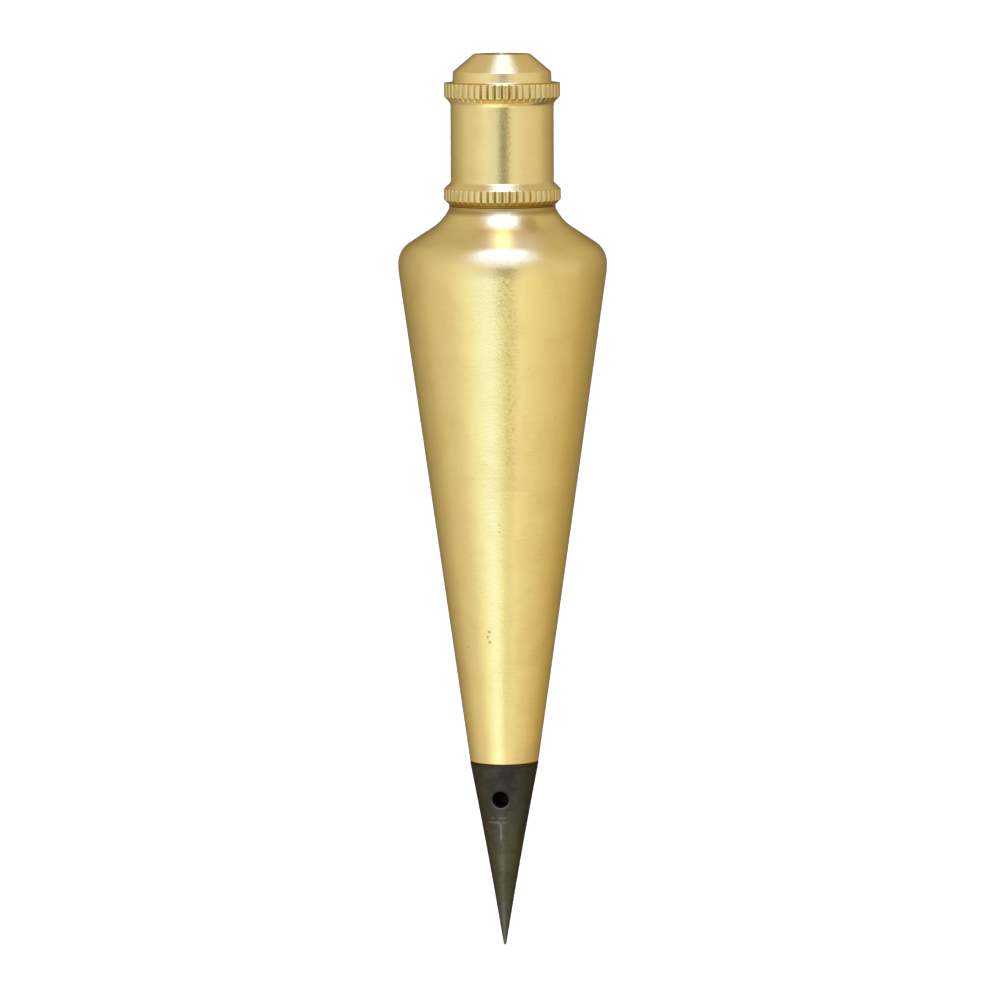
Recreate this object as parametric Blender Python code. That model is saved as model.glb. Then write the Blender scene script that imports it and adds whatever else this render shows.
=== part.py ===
"""A surveyor's brass plumb bob, hanging point down.

Three turned pieces screw together. The brass body is the weight. The knurled brass cap screws into its top
and lets the cord out through a hole on the axis. The hardened steel point screws into its foot. Two small
pieces are inside: a loose brass cup under the crown, which the cord's knot pulls against, and a rubber ring
round the point's shank, which keeps the point from working loose.

Metres, +Z up. The origin is on the axis, in the cap's flat top, where the cord leaves. Each piece is drawn
round its own seat: the cap from its foot upwards, the body from its top downwards and the point from its
shoulder both ways.
"""

import math
from typing import NamedTuple

import bmesh
import bpy

MM = 0.001
GAP = 0.3 * MM  # left between faces that meet

# Lengths along the axis. With the two gaps they add up to 152.4 mm, six inches.
CAP_HEIGHT = 25.65 * MM
BODY_LENGTH = 94.65 * MM
POINT_LENGTH = 31.5 * MM
BODY_TOP = -CAP_HEIGHT - GAP
POINT_TOP = BODY_TOP - BODY_LENGTH - GAP

# Cap, heights above its seat
SEAT_RADIUS = 8.98 * MM
NECK_RADIUS = 8.75 * MM
NECK_FOOT = 4.05 * MM
NECK_TOP = 17.35 * MM
LOWER_BAND_RADIUS = 9.93 * MM
LOWER_BAND_FOOT = 1.15 * MM
LOWER_BAND_TOP = 2.9 * MM
UPPER_BAND_RADIUS = 9.85 * MM
UPPER_BAND_FOOT = 18.5 * MM
UPPER_BAND_TOP = 20.83 * MM
CROWN_RADIUS = 8.35 * MM
CROWN_SHOULDER = 22.68 * MM
CROWN_TOP_RADIUS = 4.8 * MM
CORD_HOLE_RADIUS = 1.1 * MM
CORD_HOLE_FLARE = 0.3 * MM
KNURL_TEETH = 50
KNURL_DEPTH = 0.4 * MM

# Knot chamber, bored up the cap from below
CHAMBER_RADIUS = 4.3 * MM
CHAMBER_TOP = 19.05 * MM
DRILL_ANGLE = math.radians(59)  # half the angle of a drill's tip

# Knot cup, loose at the top of the chamber
CUP_RADIUS = 3.9 * MM
CUP_HEIGHT = 4.6 * MM
CUP_POCKET_RADIUS = 2.7 * MM
CUP_POCKET_DEPTH = 3.0 * MM

# Body, from its top down
BODY_NECK_RADIUS = 8.98 * MM
BELLY_RADIUS = 17.72 * MM
FOOT_RADIUS = 5.86 * MM
SHOULDER_START_ANGLE = math.radians(24)  # between the outline and the axis
SHOULDER_SLOPE_ANGLE = math.radians(57)
SHOULDER_HOLLOW_RADIUS = 8.0 * MM
SHOULDER_ROUND_RADIUS = 4.25 * MM
BELLY_LAND = 0.2 * MM
BELLY_BLEND_RADIUS = 12.0 * MM
FOOT_ROUND_RADIUS = 0.25 * MM

# Point, above and below its shoulder
POINT_RADIUS = 5.83 * MM
POINT_NOSE_RADIUS = 0.2 * MM
SHANK_RADIUS = 3.4 * MM
SHANK_LENGTH = 2.5 * MM
RING_SEAT_RADIUS = 2.85 * MM
RING_SEAT_FOOT = 0.75 * MM
RING_SEAT_TOP = 1.95 * MM
RING_CENTRE_RADIUS = 3.37 * MM
RING_SECTION_RADIUS = 0.44 * MM
TOMMY_HOLE_RADIUS = 1.38 * MM
TOMMY_HOLE_DEPTH = 7.0 * MM
TOMMY_HOLE_FLARE = 0.1 * MM
TOMMY_HOLE_DROP = 5.9 * MM  # from the shoulder to the hole's axis
TOMMY_HOLE_TURN = math.radians(9)  # from the front, where the thread happens to stop


class Thread(NamedTuple):
    """A right-hand 60 degree thread. Its ridge rises from root to major radius."""

    major: float
    pitch: float
    turns: int
    steps: int  # flats in one turn

    @property
    def root(self):
        return self.major - 0.541 * self.pitch

    @property
    def length(self):
        return (self.turns + 1) * self.pitch


class Socket(NamedTuple):
    """A tapped hole with a plain mouth. Depths are measured from the face that it opens in."""

    mouth_radius: float
    mouth_depth: float
    tap_depth: float
    drill_depth: float


CAP_THREAD = Thread(major=6.35 * MM, pitch=1.27 * MM, turns=5, steps=32)
CAP_SOCKET = Socket(mouth_radius=6.75 * MM, mouth_depth=1.3 * MM, tap_depth=10.6 * MM, drill_depth=12.0 * MM)
POINT_THREAD = Thread(major=3.175 * MM, pitch=1.27 * MM, turns=5, steps=24)
POINT_SOCKET = Socket(mouth_radius=4.05 * MM, mouth_depth=2.4 * MM, tap_depth=12.5 * MM, drill_depth=13.2 * MM)
THREAD_SLACK = 0.16 * MM  # by which a socket's thread is larger than the one in it
RIDGE_CORNERS = ((0.0, 0), (0.25, 0), (0.5625, 1), (0.6875, 1))  # share of the pitch up, 1 on the crest
THREAD_END = 0.4 * MM  # plain length before and after a thread's ridge

RELIEF_OVERLAP = 0.5 * MM  # of a relief neck inside the threaded length
CAP_RELIEF_RADIUS = 5.4 * MM
CAP_RELIEF_LENGTH = 1.2 * MM
CAP_THREAD_FOOT = -CAP_RELIEF_LENGTH - THREAD_END - CAP_THREAD.length
SPIGOT_END = CAP_THREAD_FOOT - THREAD_END
POINT_RELIEF_RADIUS = 2.25 * MM
POINT_RELIEF_TOP = SHANK_LENGTH + 0.6 * MM
POINT_THREAD_FOOT = POINT_RELIEF_TOP + THREAD_END
STUD_END = POINT_THREAD_FOOT + POINT_THREAD.length + THREAD_END

BODY_SEGMENTS = 64
POINT_SEGMENTS = 48
SMALL_SEGMENTS = 34
RING_SECTION_STEPS = 10
CUTTER_REACH = 2 * MM  # by which a cutting tool stands out of the metal
MERGE = 1e-7


def material(name, colour, roughness, metallic=1.0):
    made = bpy.data.materials.new(name)
    made.use_nodes = True
    shader = made.node_tree.nodes["Principled BSDF"]
    shader.inputs["Base Color"].default_value = (*colour, 1.0)
    shader.inputs["Roughness"].default_value = roughness
    shader.inputs["Metallic"].default_value = metallic
    return made


def new_object(name, bm, mat=None):
    """Turns a bmesh into an object. With no material it is a tool, which isn't part of the bob."""
    bmesh.ops.recalc_face_normals(bm, faces=bm.faces)
    mesh = bpy.data.meshes.new(name)
    bm.to_mesh(mesh)
    bm.free()
    mesh.shade_smooth()
    mesh.set_sharp_from_angle(angle=math.radians(30))
    obj = bpy.data.objects.new(name, mesh)
    bpy.context.scene.collection.objects.link(obj)
    if mat:
        mesh.materials.append(mat)
    else:
        obj.hide_render = True
        obj.display_type = "WIRE"
    return obj


def turned(name, outline, segments, mat=None):
    """Spins an outline of (radius, height) points round Z. It is closed, or it starts and ends on the axis."""
    bm = bmesh.new()
    corners = [bm.verts.new((radius, 0, height)) for radius, height in outline]
    on_axis = outline[0][0] == 0
    ends = corners[1:] if on_axis else corners[1:] + corners[:1]
    edges = [bm.edges.new(pair) for pair in zip(corners, ends)]
    bmesh.ops.spin(
        bm, geom=corners + edges, axis=(0, 0, 1), cent=(0, 0, 0), steps=segments, angle=math.tau
    )
    bmesh.ops.remove_doubles(bm, verts=bm.verts, dist=MERGE)
    return new_object(name, bm, mat)


def threaded_rod(name, thread, foot, low, high, grow=0.0):
    """A closed rod from low to high whose ridge starts at foot. grow adds to every radius, for a cutting tool."""
    bm = bmesh.new()
    steps, root, depth = thread.steps, thread.root + grow, thread.major - thread.root
    last = thread.turns * steps
    fade = steps // 2  # over half a turn the ridge rises to full height

    def vertex(radius, step, height):
        angle = math.tau * step / steps
        return bm.verts.new((radius * math.cos(angle), radius * math.sin(angle), height))

    rows = []
    for step in range(last + steps + 1):
        share = max(0.0, min(1.0, step / fade, (last - step) / fade))
        lift = foot + thread.pitch * step / steps
        corners = RIDGE_CORNERS if step <= last else RIDGE_CORNERS[:1]
        rows.append(
            [vertex(root + depth * out * share, step, lift + up * thread.pitch) for up, out in corners]
        )
    for step in range(last):
        left = [*rows[step], rows[step + steps][0]]
        right = [*rows[step + 1], rows[step + 1 + steps][0]]
        for corner in range(len(RIDGE_CORNERS)):
            bm.faces.new((left[corner], right[corner], right[corner + 1], left[corner + 1]))

    bottom = [vertex(root, step, low) for step in range(steps)]
    top = [vertex(root, step, high) for step in range(steps)]
    first_turn = [row[0] for row in rows[: steps + 1]]
    last_turn = [row[0] for row in rows[last:]]
    for step in range(steps - 1):
        bm.faces.new((bottom[step], bottom[step + 1], first_turn[step + 1], first_turn[step]))
        bm.faces.new((last_turn[step + 1], last_turn[step + 2], top[(step + 2) % steps], top[step + 1]))
    start = [bottom[-1], bottom[0], *rows[0], first_turn[-1]]
    end = [top[1], top[0], last_turn[-1], *reversed(rows[last])]
    for pivot, chain in ((first_turn[-2], start), (last_turn[1], end)):
        for pair in zip(chain, chain[1:]):
            bm.faces.new((pivot, *pair))
    bm.faces.new(bottom)
    bm.faces.new(top)
    return new_object(name, bm)


def knurl(obj, teeth, smallest_radius):
    """Presses V grooves into each ring of points wider than smallest_radius. A ring has two points a tooth."""
    for vertex in obj.data.vertices:
        radius = math.hypot(vertex.co.x, vertex.co.y)
        half_teeth = 2 * teeth * math.atan2(vertex.co.y, vertex.co.x) / math.tau
        if radius > smallest_radius and round(half_teeth) % 2:
            vertex.co.xy *= 1 - KNURL_DEPTH / radius


def combine(obj, other, operation):
    """Joins a tool to an object, or cuts it away. The tool moves with the object."""
    modifier = obj.modifiers.new(other.name, "BOOLEAN")
    modifier.object = other
    modifier.operation = operation
    other.parent = obj


def arc(centre, radius, start, end, steps):
    """Points of an arc from one angle to another, angles counted from outwards (0) to upwards (90 degrees)."""
    angles = [start + (end - start) * step / steps for step in range(steps + 1)]
    return [(centre[0] + radius * math.cos(angle), centre[1] + radius * math.sin(angle)) for angle in angles]


def make_cap(mat):
    """The knurled cap: crown, neck and spigot in one piece, bored from below for the cord and its knot."""
    relief_end = -CAP_RELIEF_LENGTH - RELIEF_OVERLAP
    outline = [
        (0, CAP_HEIGHT),
        (CROWN_TOP_RADIUS, CAP_HEIGHT),
        (CROWN_RADIUS, CROWN_SHOULDER),
        (CROWN_RADIUS, UPPER_BAND_TOP),
        (UPPER_BAND_RADIUS, UPPER_BAND_TOP),
        (UPPER_BAND_RADIUS, UPPER_BAND_FOOT),
        (NECK_RADIUS, NECK_TOP),
        (NECK_RADIUS, NECK_FOOT),
        (LOWER_BAND_RADIUS, LOWER_BAND_TOP),
        (LOWER_BAND_RADIUS, LOWER_BAND_FOOT),
        (SEAT_RADIUS, 0),
        (CAP_RELIEF_RADIUS, 0),
        (CAP_RELIEF_RADIUS, relief_end),
        (0, relief_end),
    ]
    cap = turned("cap", outline, 2 * KNURL_TEETH, mat)
    knurl(cap, KNURL_TEETH, (NECK_RADIUS + UPPER_BAND_RADIUS) / 2)
    spigot = threaded_rod("cap_spigot_tool", CAP_THREAD, CAP_THREAD_FOOT, SPIGOT_END, -CAP_RELIEF_LENGTH)
    combine(cap, spigot, "UNION")
    drill_tip = CHAMBER_TOP + (CHAMBER_RADIUS - CORD_HOLE_RADIUS) / math.tan(DRILL_ANGLE)
    bore = [
        (0, SPIGOT_END - CUTTER_REACH),
        (CHAMBER_RADIUS, SPIGOT_END - CUTTER_REACH),
        (CHAMBER_RADIUS, CHAMBER_TOP),
        (CORD_HOLE_RADIUS, drill_tip),
        (CORD_HOLE_RADIUS, CAP_HEIGHT - CORD_HOLE_FLARE),
        (CORD_HOLE_RADIUS + 2 * CORD_HOLE_FLARE, CAP_HEIGHT + CORD_HOLE_FLARE),
        (0, CAP_HEIGHT + CORD_HOLE_FLARE),
    ]
    combine(cap, turned("cap_bore_tool", bore, SMALL_SEGMENTS), "DIFFERENCE")
    cap.location.z = -CAP_HEIGHT


def make_knot_cup(mat):
    """The cup that the cord's knot pulls against. Its top fits the chamber's drilled end, a gap below it."""
    shoulder = -(CUP_RADIUS - CORD_HOLE_RADIUS) / math.tan(DRILL_ANGLE)
    pocket_top = CUP_POCKET_DEPTH - CUP_HEIGHT
    outline = [
        (CORD_HOLE_RADIUS, 0),
        (CUP_RADIUS, shoulder),
        (CUP_RADIUS, -CUP_HEIGHT),
        (CUP_POCKET_RADIUS, -CUP_HEIGHT),
        (CUP_POCKET_RADIUS, pocket_top),
        (CORD_HOLE_RADIUS, pocket_top),
    ]
    cup = turned("knot_cup", outline, SMALL_SEGMENTS, mat)
    drill_tip = CHAMBER_TOP + (CHAMBER_RADIUS - CORD_HOLE_RADIUS) / math.tan(DRILL_ANGLE)
    cup.location.z = drill_tip - GAP / math.sin(DRILL_ANGLE) - CAP_HEIGHT


def body_outline():
    """From the axis at the top, over the hollow and round of the shoulder, down the cone to the foot."""
    first, slope = SHOULDER_START_ANGLE, SHOULDER_SLOPE_ANGLE
    hollow_centre = (
        BODY_NECK_RADIUS + SHOULDER_HOLLOW_RADIUS * math.cos(first),
        SHOULDER_HOLLOW_RADIUS * math.sin(first),
    )
    hollow = arc(hollow_centre, SHOULDER_HOLLOW_RADIUS, math.pi + first, math.pi + slope, 5)
    round_centre_radius = BELLY_RADIUS - SHOULDER_ROUND_RADIUS
    slope_end_radius = round_centre_radius + SHOULDER_ROUND_RADIUS * math.cos(slope)
    slope_drop = (slope_end_radius - hollow[-1][0]) / math.tan(slope)
    round_centre = (
        round_centre_radius,
        hollow[-1][1] - slope_drop - SHOULDER_ROUND_RADIUS * math.sin(slope),
    )
    shoulder = arc(round_centre, SHOULDER_ROUND_RADIUS, slope, 0, 6)
    blend_centre = (BELLY_RADIUS - BELLY_BLEND_RADIUS, round_centre[1] - BELLY_LAND)
    cone_angle = math.atan2(BELLY_RADIUS - FOOT_RADIUS, BODY_LENGTH + blend_centre[1])
    blend = arc(blend_centre, BELLY_BLEND_RADIUS, 0, -cone_angle, 3)
    foot_centre = (FOOT_RADIUS - FOOT_ROUND_RADIUS, -BODY_LENGTH + FOOT_ROUND_RADIUS)
    foot = arc(foot_centre, FOOT_ROUND_RADIUS, -cone_angle, -math.pi / 2, 3)
    return [(0, 0), (BODY_NECK_RADIUS, 0), *hollow[1:], *shoulder, *blend, *foot, (0, -BODY_LENGTH)]


def cut_socket(body, name, socket, thread, ridge_foot, face, inwards):
    """Cuts a socket whose thread starts at ridge_foot. It opens in the face and goes up (1) or down (-1)."""
    mouth = face - inwards * CUTTER_REACH
    tap_low, tap_high = sorted((mouth, face + inwards * socket.tap_depth))
    longer = thread._replace(turns=thread.turns + 3)
    tap = threaded_rod(f"{name}_tap_tool", longer, ridge_foot, tap_low, tap_high, THREAD_SLACK)
    combine(body, tap, "DIFFERENCE")
    drilled = face + inwards * socket.drill_depth
    outline = [
        (0, mouth),
        (socket.mouth_radius, mouth),
        (socket.mouth_radius, face + inwards * socket.mouth_depth),
        (thread.root, face + inwards * socket.mouth_depth),
        (thread.root, drilled),
        (0, drilled + inwards * thread.root / math.tan(DRILL_ANGLE)),
    ]
    combine(body, turned(f"{name}_drill_tool", outline, SMALL_SEGMENTS), "DIFFERENCE")


def make_body(mat):
    """The weight: a turned cone with a threaded socket in each end, in step with the threads they take."""
    body = turned("body", body_outline(), BODY_SEGMENTS, mat)
    cap_ridge = CAP_THREAD_FOOT + GAP - CAP_THREAD.pitch
    cut_socket(body, "cap_socket", CAP_SOCKET, CAP_THREAD, cap_ridge, 0, -1)
    point_ridge = POINT_THREAD_FOOT - BODY_LENGTH - GAP - 2 * POINT_THREAD.pitch
    cut_socket(body, "point_socket", POINT_SOCKET, POINT_THREAD, point_ridge, -BODY_LENGTH, 1)
    body.location.z = BODY_TOP


def make_point(mat):
    """The steel point: threaded stud, shank with its groove, and cone with a blind hole for a tommy bar."""
    nose_centre = (0, -POINT_LENGTH + POINT_NOSE_RADIUS)
    cone_angle = math.atan2(POINT_RADIUS - POINT_NOSE_RADIUS, POINT_LENGTH)
    nose = arc(nose_centre, POINT_NOSE_RADIUS, -math.pi / 2, -cone_angle, 4)
    outline = [
        (0, -POINT_LENGTH),
        *nose[1:],
        (POINT_RADIUS, 0),
        (SHANK_RADIUS, 0),
        (SHANK_RADIUS, RING_SEAT_FOOT),
        (RING_SEAT_RADIUS, RING_SEAT_FOOT),
        (RING_SEAT_RADIUS, RING_SEAT_TOP),
        (SHANK_RADIUS, RING_SEAT_TOP),
        (SHANK_RADIUS, SHANK_LENGTH),
        (POINT_RELIEF_RADIUS, SHANK_LENGTH),
        (POINT_RELIEF_RADIUS, POINT_RELIEF_TOP + RELIEF_OVERLAP),
        (0, POINT_RELIEF_TOP + RELIEF_OVERLAP),
    ]
    point = turned("steel_point", outline, POINT_SEGMENTS, mat)
    stud = threaded_rod("point_stud_tool", POINT_THREAD, POINT_THREAD_FOOT, POINT_RELIEF_TOP, STUD_END)
    combine(point, stud, "UNION")
    wall = POINT_RADIUS * (1 - TOMMY_HOLE_DROP / POINT_LENGTH)
    end = wall - TOMMY_HOLE_DEPTH
    drill = [
        (0, end - TOMMY_HOLE_RADIUS / math.tan(DRILL_ANGLE)),
        (TOMMY_HOLE_RADIUS, end),
        (TOMMY_HOLE_RADIUS, wall - TOMMY_HOLE_FLARE),
        (TOMMY_HOLE_RADIUS + CUTTER_REACH, wall + CUTTER_REACH - TOMMY_HOLE_FLARE),
        (0, wall + CUTTER_REACH - TOMMY_HOLE_FLARE),
    ]
    tommy_drill = turned("tommy_hole_tool", drill, SMALL_SEGMENTS)
    tommy_drill.rotation_euler = (math.pi / 2, 0, -TOMMY_HOLE_TURN)
    tommy_drill.location.z = -TOMMY_HOLE_DROP
    combine(point, tommy_drill, "DIFFERENCE")
    point.location.z = POINT_TOP


def make_ring(mat):
    """The rubber ring in the groove of the point's shank. It drags on the wall of the body's socket."""
    section = arc((RING_CENTRE_RADIUS, 0), RING_SECTION_RADIUS, 0, math.tau, RING_SECTION_STEPS)
    ring = turned("shank_ring", section[:-1], SMALL_SEGMENTS, mat)
    ring.location.z = POINT_TOP + (RING_SEAT_FOOT + RING_SEAT_TOP) / 2


for leftover in list(bpy.data.objects):
    bpy.data.objects.remove(leftover)
make_cap(material("cap_brass", (0.72, 0.55, 0.27), 0.24))
make_knot_cup(material("cup_brass", (0.7, 0.53, 0.28), 0.3))
make_body(material("body_brass", (0.69, 0.53, 0.27), 0.3))
make_point(material("point_steel", (0.055, 0.05, 0.042), 0.4))
make_ring(material("ring_rubber", (0.02, 0.02, 0.02), 0.7, metallic=0.0))
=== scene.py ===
"""The looks of the brass plumb bob: fine turned meshes, brass, steel and rubber, and a soft studio."""

import math

import bpy
import numpy as np
from mathutils import Matrix, Vector


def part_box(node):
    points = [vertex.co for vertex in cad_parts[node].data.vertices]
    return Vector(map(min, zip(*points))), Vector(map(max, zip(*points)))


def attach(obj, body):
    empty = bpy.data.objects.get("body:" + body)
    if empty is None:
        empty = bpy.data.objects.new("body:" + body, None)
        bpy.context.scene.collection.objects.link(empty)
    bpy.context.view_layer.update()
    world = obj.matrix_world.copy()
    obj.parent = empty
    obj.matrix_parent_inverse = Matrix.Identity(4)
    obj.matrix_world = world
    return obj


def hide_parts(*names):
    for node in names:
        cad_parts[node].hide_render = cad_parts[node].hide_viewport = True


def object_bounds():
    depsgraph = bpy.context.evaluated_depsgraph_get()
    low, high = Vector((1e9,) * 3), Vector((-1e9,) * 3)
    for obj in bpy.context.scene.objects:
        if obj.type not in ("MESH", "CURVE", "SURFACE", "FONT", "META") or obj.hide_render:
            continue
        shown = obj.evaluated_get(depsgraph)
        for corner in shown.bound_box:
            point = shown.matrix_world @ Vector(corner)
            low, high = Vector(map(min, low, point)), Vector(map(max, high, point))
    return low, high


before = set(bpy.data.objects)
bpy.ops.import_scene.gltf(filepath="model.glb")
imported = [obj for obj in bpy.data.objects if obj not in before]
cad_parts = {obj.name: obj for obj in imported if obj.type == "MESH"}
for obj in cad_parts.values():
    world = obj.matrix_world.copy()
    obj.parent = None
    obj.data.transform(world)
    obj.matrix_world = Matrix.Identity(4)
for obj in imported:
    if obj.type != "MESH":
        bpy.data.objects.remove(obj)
cad_box = [list(corner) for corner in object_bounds()]

MM = 0.001

# Where the pieces lie along the axis
_, CAP_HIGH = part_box("cap")
BODY_LOW, BODY_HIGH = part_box("body")
POINT_LOW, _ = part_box("steel_point")
RING_LOW, RING_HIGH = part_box("shank_ring")
CUP_LOW, CUP_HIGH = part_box("knot_cup")
SEAM = 0.3 * MM  # between faces that meet
# How far the lower piece's outer face reaches up into its seam, so that it looks closed
SEAM_CLOSED = 0.24 * MM
BODY_TOP = BODY_HIGH.z
CAP_SEAT = BODY_TOP + SEAM
POINT_SEAT = BODY_LOW.z - SEAM
CAP_HEIGHT = CAP_HIGH.z - CAP_SEAT
BODY_LENGTH = BODY_HIGH.z - BODY_LOW.z
POINT_LENGTH = POINT_SEAT - POINT_LOW.z

KNURL_TEETH = 50
# One knurl tooth, as (share of the tooth, share of the groove's depth), from the middle of its top
KNURL_TOOTH = (
    (0, 0.0),
    (0.24, 0.03),
    (0.33, 0.16),
    (0.42, 0.78),
    (0.5, 1.0),
    (0.58, 0.78),
    (0.67, 0.16),
    (0.76, 0.03),
)
KNURL_DEPTH = 0.3 * MM
KNURL_UNEVEN = 0.14  # share by which one groove's depth differs from the next
KNURL_RUN_OUT = 0.3 * MM  # height over which a groove rises to nothing at the top of a band
LOWER_BAND_RADIUS = 9.93
UPPER_BAND_RADIUS = 9.85
LOWER_GROOVES = (0.3, 2.95)  # from and to, above the cap's seat
UPPER_GROOVES = (17.9, 20.78)
NECK_RADIUS = 8.75
SPIGOT_SHOULDER = -1.2  # where the cap's thread starts below its seat
SHANK_RADIUS = 3.4
GROOVE_RADIUS = 2.85  # of the rubber ring's groove
GROOVE = (0.75, 1.95)
RELIEF_RADIUS = 2.25  # between the shank and the stud's thread
RELIEF_END = 3.1
SAME = 1e-6  # less than any real difference between two sizes
ONE_PLACE = 1e-7  # points closer than this are one point
FINE = 0.11 * MM  # between the rows of a thread


# ---------------------------------------------------------------- shapes


def rounded(corners, turn_step=math.radians(9), support=0.06 * MM, longest=3 * MM):
    """An outline through corners of (radius, height, rounding). Straight runs get points near both ends."""
    corners = [(np.array(corner[:2], float), corner[2]) for corner in corners]
    outline = [corners[0][0]]
    for (before, _), (corner, rounding), (after, _) in zip(corners, corners[1:], corners[2:]):
        back, ahead = before - corner, after - corner
        back_length, ahead_length = np.hypot(*back), np.hypot(*ahead)
        back, ahead = back / back_length, ahead / ahead_length
        opening = math.acos(max(-1.0, min(1.0, float(back @ ahead))))
        if rounding <= 0 or opening > math.pi - 0.02:
            outline.append(corner)
            continue
        reach = min(rounding / math.tan(opening / 2), 0.45 * back_length, 0.45 * ahead_length)
        radius = reach * math.tan(opening / 2)
        centre = corner + (back + ahead) / np.hypot(*(back + ahead)) * radius / math.sin(opening / 2)
        start, end = corner + back * reach - centre, corner + ahead * reach - centre
        first = math.atan2(start[1], start[0])
        sweep = (math.atan2(end[1], end[0]) - first + math.pi) % math.tau - math.pi
        steps = max(2, math.ceil(abs(sweep) / turn_step))
        for step in range(steps + 1):
            angle = first + sweep * step / steps
            outline.append(centre + radius * np.array((math.cos(angle), math.sin(angle))))
    outline.append(corners[-1][0])
    filled = [outline[0]]
    for here, there in zip(outline, outline[1:]):
        length = float(np.hypot(*(there - here)))
        if length > 6 * support:
            inner = max(1, math.ceil(length / longest))
            shares = [support / length, *(k / inner for k in range(1, inner)), 1 - support / length]
            filled += [here + (there - here) * share for share in shares]
        filled.append(there)
    return np.array(filled)


def in_metres(corners):
    """Corners of (radius, height, rounding) given in mm."""
    return [tuple(value * MM for value in corner) for corner in corners]


def straight(start, end, step):
    """Points from start to end, at most step apart."""
    start, end = np.array(start, float), np.array(end, float)
    count = max(1, math.ceil(np.hypot(*(end - start)) / step))
    return start + (end - start) * np.linspace(0, 1, count + 1)[:, None]


def arc(centre, radius, start, end, steps):
    """Points on a circle from one angle to another."""
    angles = np.linspace(start, end, steps + 1)
    return np.column_stack((centre[0] + radius * np.cos(angles), centre[1] + radius * np.sin(angles)))


def lathe(name, outline, segments, reshape=None, lift=0.0, angles=None):
    """Turns an outline of (radius, height) points, closed or from axis to axis, into a mesh.

    reshape(radius, height, angle) gives the final radius, for knurls and threads. angles places columns that
    aren't evenly spaced."""
    outline = np.asarray(outline, float)
    keep = np.ones(len(outline), bool)
    keep[1:] = np.hypot(*(outline[1:] - outline[:-1]).T) > ONE_PLACE
    outline = outline[keep]
    on_axis = outline[0][0] < ONE_PLACE
    ring_rows = outline[1:-1] if on_axis else outline
    if angles is None:
        angles = np.linspace(0, math.tau, segments, endpoint=False)
    radius = np.repeat(ring_rows[:, :1], segments, axis=1)
    height = np.repeat(ring_rows[:, 1:], segments, axis=1)
    angle = np.repeat(angles[None, :], len(ring_rows), axis=0)
    if reshape:
        radius = reshape(radius, height, angle)
    points = np.stack((radius * np.cos(angle), radius * np.sin(angle), height + lift), axis=-1).reshape(-1, 3)
    index = np.arange(len(ring_rows) * segments).reshape(len(ring_rows), segments)
    across = np.roll(index, -1, axis=1)
    if on_axis:
        below, below_across = index[1:], across[1:]
    else:
        below, below_across = np.roll(index, -1, 0), np.roll(across, -1, 0)
    rows = len(below)
    quads = np.stack((index[:rows], below, below_across, across[:rows]), axis=-1).reshape(-1, 4)
    faces = quads.tolist()
    if on_axis:
        poles = np.array([(0, 0, outline[0][1] + lift), (0, 0, outline[-1][1] + lift)])
        first, last = len(points), len(points) + 1
        points = np.vstack((points, poles))
        faces += [(first, index[0, k], across[0, k]) for k in range(segments)]
        faces += [(last, across[-1, k], index[-1, k]) for k in range(segments)]
    mesh = bpy.data.meshes.new(name)
    mesh.from_pydata(points.tolist(), [], faces)
    mesh.update()
    return finished(name, mesh)


def finished(name, mesh, sharp=32):
    """Points a closed mesh's faces outwards, shades it smooth with sharp edges kept and makes its object."""
    corners = np.zeros(len(mesh.vertices) * 3)
    mesh.vertices.foreach_get("co", corners)
    corners = corners.reshape(-1, 3)
    mesh.calc_loop_triangles()
    triangles = np.zeros(len(mesh.loop_triangles) * 3, np.int32)
    mesh.loop_triangles.foreach_get("vertices", triangles)
    a, b, c = (corners[triangles.reshape(-1, 3)[:, k]] for k in range(3))
    if (a * np.cross(b, c)).sum() < 0:
        mesh.flip_normals()
    mesh.shade_smooth()
    mesh.set_sharp_from_angle(angle=math.radians(sharp))
    obj = bpy.data.objects.new(name, mesh)
    bpy.context.scene.collection.objects.link(obj)
    return obj


PITCH = 1.27 * MM
THREAD_FADE = 0.5  # turns over which a ridge rises from nothing at either end
# The ridge over one pitch, as (share of the pitch, share of the thread's depth)
THREAD_RIDGE = (
    (0, 0),
    (0.23, 0),
    (0.28, 0.08),
    (0.545, 0.93),
    (0.59, 1),
    (0.66, 1),
    (0.705, 0.93),
    (0.97, 0.08),
    (1, 0),
)


class Thread:
    """The surface of a right-hand 60 degree thread, which starts at foot and fades in and out."""

    def __init__(self, major, foot, turns, slack=0.0):
        self.foot, self.turns = foot, turns
        self.depth = 0.541 * PITCH
        self.root = major - self.depth + slack

    def radius(self, height, angle):
        turned = (height - self.foot) / PITCH - angle / math.tau
        whole = np.floor(turned)
        done = whole + angle / math.tau
        ridge = np.interp(turned - whole, *zip(*THREAD_RIDGE))
        fade = np.clip(np.minimum(done, self.turns - done) / THREAD_FADE, 0, 1)
        return self.root + self.depth * ridge * fade


CAP_THREAD_MAJOR = 6.35 * MM
POINT_THREAD_MAJOR = 3.175 * MM
THREAD_TURNS = 5
SOCKET_TURNS = 8
SLACK = 0.16 * MM
CAP_THREAD_FOOT = -9.22 * MM
SPIGOT_END = -9.62 * MM
POINT_THREAD_FOOT = 3.5 * MM
STUD_END = 11.52 * MM
POINT_HOLLOW = 0.13 * MM  # how far the middle of the point's cone lies inside a straight one
TOMMY_DROP = 5.9  # from the point's shoulder to the axis of its hole
TOMMY_TURN = 9  # degrees left of the front


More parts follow.
